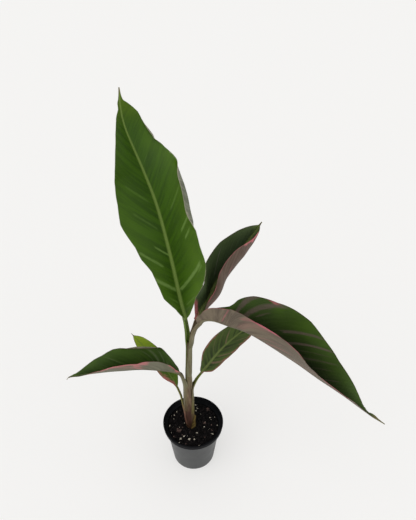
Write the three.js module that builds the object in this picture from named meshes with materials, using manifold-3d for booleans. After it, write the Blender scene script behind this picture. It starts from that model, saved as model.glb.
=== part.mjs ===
// Young banana plant in a nursery pot: pot, potting soil, pseudostem with its
// leaf sheaths, and six leaves, each a channelled petiole and a folded blade.
// Millimetres, +Z up, origin on the pot's flat underside.
import * as THREE from 'three';
import { mergeVertices } from 'three/addons/utils/BufferGeometryUtils.js';
import Module from 'manifold-3d';

const wasm = await Module();
wasm.setup();

const GAP = 0.3;                       // clearance between neighbouring pieces
const rad = THREE.MathUtils.degToRad;
const { clamp, lerp } = THREE.MathUtils;
const V = (x, y, z) => new THREE.Vector3(x, y, z);

// ---------------------------------------------------------------- main sizes
const pot = {
  height: 95, rimRadius: 52.5, baseRadius: 36.75, wall: 1.4, floor: 2,
  collar: 9.5, collarFoot: 51.6, shoulder: 48.8, chamfer: 1.2,
  holes: 6, holeRadius: 4.5, holeCircle: 27,
};
const soilTop = 84.7;

// pseudostem: centre and radius at each height
const stem = {
  heights: [85, 112, 140, 181, 205, 228, 261, 289],
  x: [-2.8, -5.0, -6.2, -6.2, -5.3, -5.4, -4.4, -3.8],
  radius: [9.0, 8.8, 7.9, 6.7, 5.8, 5.2, 4.7, 4.4],
  sides: 16, steps: 18,
};

// remnant of an old, cut leaf sheath that clasps the stem's foot
const oldSheath = { from: 85.1, to: 119, towards: -25, reach: 62, thickness: 1.1 };

// Each leaf: midrib line from petiole to drip tip, half width, outline
// (widest place, base and tip exponents), how far each half folds up from flat
// and curls towards its margin, how wide each half is along the leaf, the roll
// about the midrib, its sheath on the stem (height of foot and mouth, direction
// it faces, how far it wraps), and the points its petiole passes on the way up.
const leaves = [
  {
    name: 'small_leaf', color: 0x6f9a3c,
    rib: [[-25, 8, 179], [-40, 20, 201], [-67, 40, 223], [-101, 60, 254]],
    half: 19.4, widest: 0.41, base: 1.34, tip: [2.0, 0.79], tail: 0.04,
    fold: [[24, 18, 14], [29, 25, 20]], curl: [0, 0],
    size: [[0.98, 1.03, 0.95, 1.04, 1], [0.99, 1.04, 0.97, 0.98, 1.01]],
    roll: [-6, 2, 8], steps: 18, across: 4,
    sheath: { foot: 92, leave: 120, towards: 185, wrap: 0.7 },
    via: [[-17, 3, 144], [-19.6, 5, 160]], petiole: 1.9,
  },
  {
    name: 'right_leaf', color: 0x557f3a,
    rib: [[15, 10, 214], [25, 17, 223], [47, 36, 241], [77, 60, 253], [117, 88, 264]],
    half: 24, widest: 0.45, base: 1.8, tip: [1.94, 0.91], tail: 0.04,
    fold: [[31, 22, 20], [21, 17, 14]], curl: [0, 0],
    size: [[0.97, 1.01, 0.95, 0.98, 1], [1.03, 1, 0.98, 1.08, 1]],
    roll: [-13, -7, -9], steps: 20, across: 4,
    sheath: { foot: 122, leave: 184, towards: 5, wrap: 0.85 },
    via: [[3, 3.5, 199], [8.2, 6.5, 207.5]], petiole: 2.3,
  },
  {
    name: 'left_leaf', color: 0x2f5a34,
    rib: [[-18, -5, 231], [-25, -7, 238], [-42, -9, 243], [-76, -12, 249],
      [-108, -12, 246], [-137, -10, 241], [-192, -4, 222], [-203, -3, 213]],
    half: 35.5, widest: 0.23, base: 1.25, tip: [2.22, 0.98], tail: 0.06,
    fold: [[68, 63, 40], [49, 63, 45]], curl: [0, 0],
    size: [[0.75, 1.16, 0.93, 0.95, 1], [0.77, 1.06, 1.16, 1, 0.97]],
    roll: [3, 2, 10], steps: 26, across: 5,
    sheath: { foot: 130, leave: 188, towards: 225, wrap: 1 },
    via: [[-10.4, -3.6, 202], [-13.4, -4.4, 217]], petiole: 3.2,
  },
  {
    name: 'drooping_leaf', color: 0x2c5230,
    rib: [[13, -8, 348], [20, -10, 354], [34, -14, 357], [53, -20, 354],
      [88, -32, 349], [148, -50, 317], [187, -60, 288], [227, -68, 258],
      [269, -74, 221], [298, -78, 199]],
    half: 62.1, widest: 0.43, base: 1.8, tip: [1.26, 1.11], tail: 0.1,
    fold: [[56, 69, 42], [76, 64, 51]], curl: [0, 0],
    size: [[0.4, 1.13, 1.08, 1.07, 0.93], [1.19, 0.96, 0.93, 1.09, 1]],
    roll: [14, -13, -10], steps: 34, across: 5,
    sheath: { foot: 218, leave: 286, towards: -52, wrap: 1 },
    via: [[0.3, -4.6, 303], [3, -5.6, 320], [7, -6.6, 335]], petiole: 4.1,
  },
  {
    name: 'back_leaf', color: 0x24402c,
    rib: [[8.5, 15.5, 331], [16, 25, 345], [26.5, 36, 356], [38, 58, 369],
      [68, 98, 387], [93, 130, 400], [113, 160, 409]],
    half: 50.6, widest: 0.43, base: 2.04, tip: [1.7, 0.85], tail: 0.04,
    fold: [[84, 60, 58], [28, 30, 12]], curl: [0, 109],
    size: [[0.97, 1.05, 0.93, 1.04, 1], [0.98, 0.96, 1.05, 0.97, 1]],
    roll: [-32, -15, -35], steps: 24, across: 6,
    sheath: { foot: 252, leave: 288, towards: 70, wrap: 0.8 },
    via: [[-0.2, 6.2, 304], [4.2, 10.2, 318]], petiole: 3.2,
  },
  {
    name: 'tall_leaf', color: 0x4c8a32,
    rib: [[-7, 2, 346], [-14, 8, 380], [-27, 30, 446], [-44, 60, 509],
      [-63, 85, 554], [-84, 108, 600], [-91, 118, 627], [-92, 125, 654]],
    half: 58.4, widest: 0.53, base: 1.62, tip: [1.98, 0.88], tail: 0.04,
    fold: [[50, 18, 34], [47, 46, 7]], curl: [0, 8],
    size: [[0.97, 0.82, 1.02, 1.04, 0.6], [0.56, 1.25, 0.91, 0.88, 1.27]],
    roll: [6, 11, -17], steps: 34, across: 5,
    sheath: null, via: [[-4.8, 0, 306], [-5.4, 0.4, 324]], petiole: 3.6,
  },
];

// ------------------------------------------------------------------- curves
// value at s (0..1) of a smooth line through evenly spaced values
function along(values, s) {
  if (values.length === 1) return values[0];
  const n = values.length - 1;
  const at = (i) => (i < 0 ? 2 * values[0] - values[1]
    : i > n ? 2 * values[n] - values[n - 1] : values[i]);
  const i = clamp(Math.floor(s * n), 0, n - 1);
  const t = s * n - i;
  const [a, b, c, d] = [at(i - 1), at(i), at(i + 1), at(i + 2)];
  return 0.5 * (2 * b + (c - a) * t + (2 * a - 5 * b + 4 * c - d) * t * t
    + (3 * b - a - 3 * c + d) * t * t * t);
}

const spline = (points) => new THREE.CatmullRomCurve3(points, false, 'catmullrom', 0.5);

function tangents(points) {
  return points.map((p, i) => points[Math.min(i + 1, points.length - 1)].clone()
    .sub(points[Math.max(i - 1, 0)]).normalize());
}

// ------------------------------------------------------------------- solids
function outward(positions, index) {
  let geometry = new THREE.BufferGeometry();
  geometry.setAttribute('position', new THREE.Float32BufferAttribute(positions, 3));
  geometry.setIndex(index);
  geometry = mergeVertices(geometry, 1e-4);
  const p = geometry.getAttribute('position');
  const kept = [];
  let volume = 0;
  const [a, b, c] = [V(), V(), V()];
  for (let i = 0; i < geometry.index.count; i += 3) {
    const t = [0, 1, 2].map((k) => geometry.index.getX(i + k));
    if (t[0] === t[1] || t[1] === t[2] || t[2] === t[0]) continue;
    a.fromBufferAttribute(p, t[0]);
    b.fromBufferAttribute(p, t[1]);
    c.fromBufferAttribute(p, t[2]);
    volume += a.dot(b.cross(c));
    kept.push(...t);
  }
  if (volume < 0) kept.reverse();
  geometry.setIndex(kept);
  return geometry;
}

const flat = (points) => points.flatMap((p) => [p.x, p.y, p.z]);

// a tube of closed rings, with flat ends
function loft(rings) {
  const n = rings[0].length;
  const points = rings.flat();
  const index = [];
  for (let i = 0; i + 1 < rings.length; i += 1) {
    for (let k = 0; k < n; k += 1) {
      const [a, b] = [i * n + k, i * n + (k + 1) % n];
      index.push(a, b, b + n, a, b + n, a + n);
    }
  }
  [[rings[0], 0], [rings.at(-1), (rings.length - 1) * n]].forEach(([ring, first], end) => {
    const centre = ring.reduce((sum, p) => sum.add(p), V(0, 0, 0)).divideScalar(n);
    points.push(centre);
    for (let k = 0; k < n; k += 1) {
      const t = [points.length - 1, first + (k + 1) % n, first + k];
      index.push(...(end ? t.reverse() : t));
    }
  });
  return outward(flat(points), index);
}

// a plate between an upper and a lower grid of points
function plate(upper, lower) {
  const [rows, cols] = [upper.length, upper[0].length];
  const points = [...upper.flat(), ...lower.flat()];
  const under = rows * cols;
  const index = [];
  const quad = (a, b, c, d) => index.push(a, b, c, a, c, d);
  for (let i = 0; i + 1 < rows; i += 1) {
    for (let k = 0; k + 1 < cols; k += 1) {
      const a = i * cols + k;
      quad(a, a + 1, a + cols + 1, a + cols);
      quad(under + a, under + a + cols, under + a + cols + 1, under + a + 1);
    }
    for (const k of [0, cols - 1]) {
      const a = i * cols + k;
      const side = [a, a + cols, under + a + cols, under + a];
      quad(...(k ? side.reverse() : side));
    }
  }
  for (let k = 0; k + 1 < cols; k += 1) {
    for (const i of [0, rows - 1]) {
      const a = i * cols + k;
      const side = [a, under + a, under + a + 1, a + 1];
      quad(...(i ? side.reverse() : side));
    }
  }
  return outward(flat(points), index);
}

function lathe(profile, sides) {
  const geometry = new THREE.LatheGeometry(profile.map(([r, z]) => new THREE.Vector2(r, z)), sides);
  geometry.rotateX(Math.PI / 2);
  return outward([...geometry.getAttribute('position').array], [...geometry.index.array]);
}

function toManifold(geometry) {
  return new wasm.Manifold(new wasm.Mesh({
    numProp: 3,
    vertProperties: new Float32Array(geometry.getAttribute('position').array),
    triVerts: new Uint32Array(geometry.index.array),
  }));
}

function fromManifold(solid) {
  const mesh = solid.getMesh();
  return outward([...mesh.vertProperties], [...mesh.triVerts]);
}

// the largest piece of a solid once its neighbours are cut away
function cutClear(geometry, neighbours) {
  let solid = toManifold(geometry);
  for (const other of neighbours) solid = solid.subtract(other);
  const pieces = solid.decompose().sort((a, b) => b.volume() - a.volume());
  return fromManifold(pieces[0]);
}

// --------------------------------------------------------------------- pot
function makePot() {
  const p = pot;
  const innerRim = p.rimRadius - p.wall - 0.4;
  const innerBase = p.baseRadius - p.wall;
  const body = lathe([
    [0, 0], [p.baseRadius - p.chamfer, 0], [p.baseRadius, p.chamfer],
    [p.shoulder, p.height - p.collar], [p.collarFoot, p.height - p.collar],
    [p.rimRadius - 0.5, p.height - 2.4], [p.rimRadius, p.height - 1.6],
    [p.rimRadius, p.height - 0.4], [p.rimRadius - 0.5, p.height],
    [innerRim, p.height], [p.collarFoot - p.wall, p.height - p.collar + p.wall],
    [p.shoulder - p.wall, p.height - p.collar + p.wall],
    [innerBase, p.floor], [0, p.floor],
  ], 48);
  const holes = Array.from({ length: p.holes }, (_, i) => {
    const hole = new THREE.CylinderGeometry(p.holeRadius, p.holeRadius, 4 * p.floor, 12);
    hole.rotateX(Math.PI / 2);
    const a = (2 * Math.PI * (i + 0.5)) / p.holes;
    hole.translate(p.holeCircle * Math.cos(a), p.holeCircle * Math.sin(a), 0);
    return toManifold(outward([...hole.getAttribute('position').array], [...hole.index.array]));
  });
  return cutClear(body, holes);
}

function makeSoil() {
  const p = pot;
  const inner = (z) => lerp(p.baseRadius, p.shoulder,
    (z - p.floor) / (p.height - p.collar + p.wall - p.floor)) - p.wall - GAP;
  const low = p.floor + GAP;
  return lathe([
    [0, low], [inner(low) - 0.1, low], [inner(soilTop - 1), soilTop - 1],
    [36, soilTop + 0.6], [24, soilTop - 0.6], [12, soilTop], [0, soilTop],
  ], 48);
}

// -------------------------------------------------------------------- stem
function stemAt(z) {
  const h = stem.heights;
  let i = h.findIndex((height, k) => k < h.length - 1 && z < h[k + 1]);
  if (i < 0) i = h.length - 2;
  const s = (i + (z - h[i]) / (h[i + 1] - h[i])) / (h.length - 1);
  return { centre: V(along(stem.x, s), 0, z), radius: along(stem.radius, s) };
}

function makeStem(grow = 0, top = stem.heights.at(-1)) {
  const rings = [];
  const low = stem.heights[0];
  for (let i = 0; i <= stem.steps; i += 1) {
    const { centre, radius } = stemAt(lerp(low, top, i / stem.steps));
    if (i === 0) centre.z -= grow;
    if (i === stem.steps) centre.z += grow;
    rings.push(Array.from({ length: stem.sides }, (_, k) => {
      const a = (2 * Math.PI * k) / stem.sides;
      const r = (radius + grow) * (1 + 0.025 * Math.cos(3 * a + i * 0.25));
      return V(centre.x + r * Math.cos(a), r * Math.sin(a), centre.z);
    }));
  }
  return loft(rings);
}

function makeOldSheath(grow = 0) {
  const s = oldSheath;
  const [rows, cols] = [6, 8];
  const grid = (offset) => Array.from({ length: rows + 1 }, (_, i) => {
    const t = i / rows;
    const z = lerp(s.from - grow, s.to + grow, t);
    const { centre, radius } = stemAt(Math.max(z, stem.heights[0]));
    const reach = rad(s.reach + grow * 6) * (1 - 0.75 * t ** 1.6);
    return Array.from({ length: cols + 1 }, (__, k) => {
      const a = rad(s.towards) + reach * (2 * k / cols - 1);
      const edge = Math.abs(2 * k / cols - 1);
      const r = radius * 1.025 + GAP + offset * (1 - 0.35 * edge * edge);
      return V(centre.x + r * Math.cos(a), r * Math.sin(a), z);
    });
  });
  return plate(grid(s.thickness * (1 + 0.2) + grow), grid(-grow));
}

// ------------------------------------------------------------------ blades
function outline(leaf, s) {
  const q = s / (1 - leaf.tail);
  const m = leaf.widest;
  const width = q < m
    ? (1 - (1 - q / m) ** leaf.base) ** (1 / leaf.base)
    : (1 - clamp((q - m) / (1 - m), 0, 1) ** leaf.tip[0]) ** leaf.tip[1];
  const tail = 0.03 * (1 - 0.7 * clamp((s - 1 + leaf.tail) / leaf.tail, 0, 1));
  return Math.max(width || 0, tail);
}

// midrib line with its tangent, sideways and upward directions at each step
function ribFrames(leaf) {
  const curve = spline(leaf.rib.map((p) => V(...p)));
  const points = curve.getSpacedPoints(leaf.steps);
  return tangents(points).map((t, i) => {
    const s = i / leaf.steps;
    const side = t.clone().cross(V(0, 0, 1)).normalize();
    const up = side.clone().cross(t);
    const roll = rad(along(leaf.roll, s));
    return {
      s,
      point: points[i],
      tangent: t,
      side: side.clone().multiplyScalar(Math.cos(roll)).addScaledVector(up, Math.sin(roll)),
      up: up.clone().multiplyScalar(Math.cos(roll)).addScaledVector(side, -Math.sin(roll)),
      length: curve.getLength(),
    };
  });
}

function makeBlade(leaf) {
  const frames = ribFrames(leaf);
  const thickness = 0.0103 * frames[0].length;
  const upper = [];
  const lower = [];
  for (const f of frames) {
    const foot = lerp(leaf.petiole * 0.9, 0, Math.min(1, f.s * 12));
    const ridge = lerp(leaf.petiole * 1.5, thickness, f.s ** 0.5);
    const rowUp = [];
    const rowDown = [];
    for (let k = -leaf.across; k <= leaf.across; k += 1) {
      const half = k < 0 ? 0 : 1;
      const hand = k < 0 ? -1 : 1;
      const width = Math.max(leaf.half * outline(leaf, f.s) * along(leaf.size[half], f.s), foot, 0.8);
      const t = (Math.abs(k) / leaf.across) ** 1.3;
      const fold = rad(along(leaf.fold[half], f.s));
      const curl = rad(leaf.curl[half]) || 1e-3;
      const x = (width * (Math.sin(fold + curl * t) - Math.sin(fold))) / curl;
      const y = (width * (Math.cos(fold) - Math.cos(fold + curl * t))) / curl;
      const top = f.point.clone().addScaledVector(f.side, hand * x).addScaledVector(f.up, y);
      const slope = k === 0 ? 0 : fold + curl * t;
      const depth = lerp(thickness, Math.max(ridge, thickness),
        Math.exp(-((width * t / leaf.petiole) ** 2)));
      rowUp.push(top);
      rowDown.push(top.clone().addScaledVector(f.up, -depth * Math.cos(slope))
        .addScaledVector(f.side, hand * depth * Math.sin(slope)));
    }
    upper.push(rowUp);
    lower.push(rowDown);
  }
  return plate(upper, lower);
}

// ---------------------------------------------------------------- petioles
// centre line and radius, from the sheath's foot on the stem to the blade
function petioleLine(leaf) {
  const frame = ribFrames(leaf)[0];
  // the blade's foot is a folded ridge, so the petiole ends under its middle
  const end = frame.point.clone().addScaledVector(frame.up, -0.45 * leaf.petiole);
  const r = leaf.petiole;
  const line = [];
  if (leaf.sheath) {
    const { foot, leave, towards, wrap } = leaf.sheath;
    const out = V(Math.cos(rad(towards)), Math.sin(rad(towards)), 0);
    [[0, 0.7, 1], [0.5, 1.3, 1], [1, 2.6, 0.78]].forEach(([t, offset, width]) => {
      const { centre, radius } = stemAt(Math.min(lerp(foot, leave, t), stem.heights.at(-1)));
      centre.z = lerp(foot, leave, t);
      const size = Math.max(r, radius * width * lerp(1, wrap, 0.35));
      line.push([centre.addScaledVector(out, radius * (1 - wrap) * 0.5 + offset), size]);
    });
  } else {
    const { centre, radius } = stemAt(stem.heights.at(-1));
    centre.z += GAP;
    line.push([centre, radius * 0.98]);
  }
  const wide = line.at(-1)[1];
  leaf.via.forEach((p, i) => {
    line.push([V(...p), lerp(wide, r, (i + 1) / (leaf.via.length + 0.3))]);
  });
  line.push([end.clone().addScaledVector(frame.tangent, -GAP), r * 0.96]);
  return { line, frame };
}

function makePetiole(leaf, grow = 0) {
  const { line, frame } = petioleLine(leaf);
  const curve = spline(line.map(([p]) => p));
  const steps = leaf.sheath ? 18 : 9;
  const sides = 14;
  const points = Array.from({ length: steps + 1 }, (_, i) => curve.getPoint(i / steps));
  const directions = tangents(points);
  directions[steps] = frame.tangent.clone();
  const rings = [];
  let up = frame.up.clone();
  for (let i = steps; i >= 0; i -= 1) {
    const t = directions[i];
    up = up.clone().addScaledVector(t, -up.dot(t)).normalize();
    const side = t.clone().cross(up);
    const r = along(line.map(([, size]) => size), i / steps) + grow;
    const channel = 0.3 * clamp((i / steps - 0.45) / 0.3, 0, 1);
    const centre = points[i].clone()
      .addScaledVector(t, i === steps ? grow : i === 0 ? -grow : 0);
    rings.push(Array.from({ length: sides }, (_, k) => {
      const a = (2 * Math.PI * k) / sides;
      const groove = 1 - channel * Math.exp(-(((Math.PI - Math.abs(a - Math.PI)) / 0.55) ** 2));
      return centre.clone().addScaledVector(up, r * groove * Math.cos(a))
        .addScaledVector(side, r * Math.sin(a));
    }));
  }
  return loft(rings);
}

// ------------------------------------------------------------------ assembly
function material(color, roughness) {
  return new THREE.MeshStandardMaterial({ color, roughness, metalness: 0 });
}

function add(group, name, geometry, color, roughness = 0.55) {
  geometry.computeVertexNormals();
  const mesh = new THREE.Mesh(geometry, material(color, roughness));
  mesh.name = name;
  group.add(mesh);
}

const plant = new THREE.Group();
const container = new THREE.Group();
const pseudostem = new THREE.Group();
plant.add(container, pseudostem);

add(container, 'pot', makePot(), 0x2b2c2d, 0.45);
add(container, 'potting_soil', makeSoil(), 0x1d1713, 0.95);
add(pseudostem, 'pseudostem', makeStem(), 0x7d7448);
add(pseudostem, 'old_leaf_sheath', makeOldSheath(), 0x6b4a33, 0.8);

const taken = [toManifold(makeStem(GAP)), toManifold(makeOldSheath(GAP))];
const blades = leaves.map((leaf) => makeBlade(leaf));
const order = [5, 3, 4, 2, 1, 0];
const petioles = [];
for (const i of order) {
  petioles[i] = cutClear(makePetiole(leaves[i]), taken);
  taken.push(toManifold(makePetiole(leaves[i], GAP)));
}
leaves.forEach((leaf, i) => {
  const group = new THREE.Group();
  add(group, `${leaf.name}_petiole`, petioles[i], 0x7b7f45);
  add(group, `${leaf.name}_blade`, blades[i], leaf.color, 0.4);
  plant.add(group);
});

export default plant;
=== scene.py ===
"""Young banana plant in a nursery pot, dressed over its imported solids."""
import math
import random

import bpy
from mathutils import Matrix, Vector, noise


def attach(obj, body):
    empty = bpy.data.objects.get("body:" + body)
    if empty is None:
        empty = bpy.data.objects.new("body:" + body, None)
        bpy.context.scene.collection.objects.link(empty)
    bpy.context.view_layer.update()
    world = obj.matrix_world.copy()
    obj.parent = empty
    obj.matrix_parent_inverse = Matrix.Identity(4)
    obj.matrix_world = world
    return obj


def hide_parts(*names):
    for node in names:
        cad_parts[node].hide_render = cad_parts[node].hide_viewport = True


MM = 0.001
UP = Vector((0, 0, 1))
LEFT, RIGHT = -1, 1

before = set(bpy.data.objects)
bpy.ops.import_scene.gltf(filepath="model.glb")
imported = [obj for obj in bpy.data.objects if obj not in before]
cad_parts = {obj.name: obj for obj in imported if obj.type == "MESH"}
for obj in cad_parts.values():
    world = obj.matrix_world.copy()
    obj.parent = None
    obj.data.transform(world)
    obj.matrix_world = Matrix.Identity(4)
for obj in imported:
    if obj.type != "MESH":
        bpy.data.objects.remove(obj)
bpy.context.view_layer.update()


# ---------------------------------------------------------------- sizes, in mm
# Radii and heights of the pot's wall. standing and middle are the rings from
# which its underside and its floor close inwards. drill: length of the cutter.
POT = dict(height=95, rim=52.5, base=36.75, wall=1.4, floor=2, collar=9.5,
           collar_foot=51.6, shoulder=46.7, standing=34.6, middle=20,
           holes=6, hole=4.5, hole_circle=27, drill=12, sides=96)

# The soil's level, the rise of the pot's inner wall above its floor, the half
# side of the square that loose bits are thrown on, how far out they may lie,
# how far they keep from the stem, and how far left of the middle that stands.
SOIL = dict(top=84.7, rise=84.9, field=46, reach=44.8, clear=11.5, stem_left=3,
            sides=120, rings=40)

# The stem's centre and radius at its heights. It is drawn from foot to top.
STEM = dict(
    foot=78, top=300, rings=120, sides=56,
    heights=[85, 112, 140, 181, 205, 228, 261, 289],
    x=[-4.3, -5.5, -6.2, -6.2, -5.3, -5.4, -4.4, -3.8],
    radius=[8.0, 8.3, 7.9, 6.7, 5.8, 5.2, 4.7, 4.4],
)

# The dry remnant low on the stem: its foot, its top in the middle and at the
# sides, the way it looks and how far it reaches round each way, in degrees.
OLD_SHEATH = dict(foot=80, middle=119, sides=96, towards=-25, reach=62, stand=0.55)

THIN = 0.45             # thickness of a leaf and of the dry remnant
WELD = 0.002            # points closer than this become one
VEIN_SPACING = 1.9      # between the fine lines on a leaf
TIP_FROM = 0.84         # place where a leaf takes its tip's colour
HALF_SHIFT = 400.0      # keeps the vein numbers of the right half apart
LANES = 17              # points round a stalk's back, and again in its channel
STALK_STEPS = 24        # rings from one station of a stalk to the next
RIB_STEPS = 70          # rings along the midrib under a blade
CHANNEL = 128           # degrees each way that a channelled petiole reaches
YOUNGEST = (268, 288)   # heights where the youngest leaf leaves the stem's core

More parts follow.
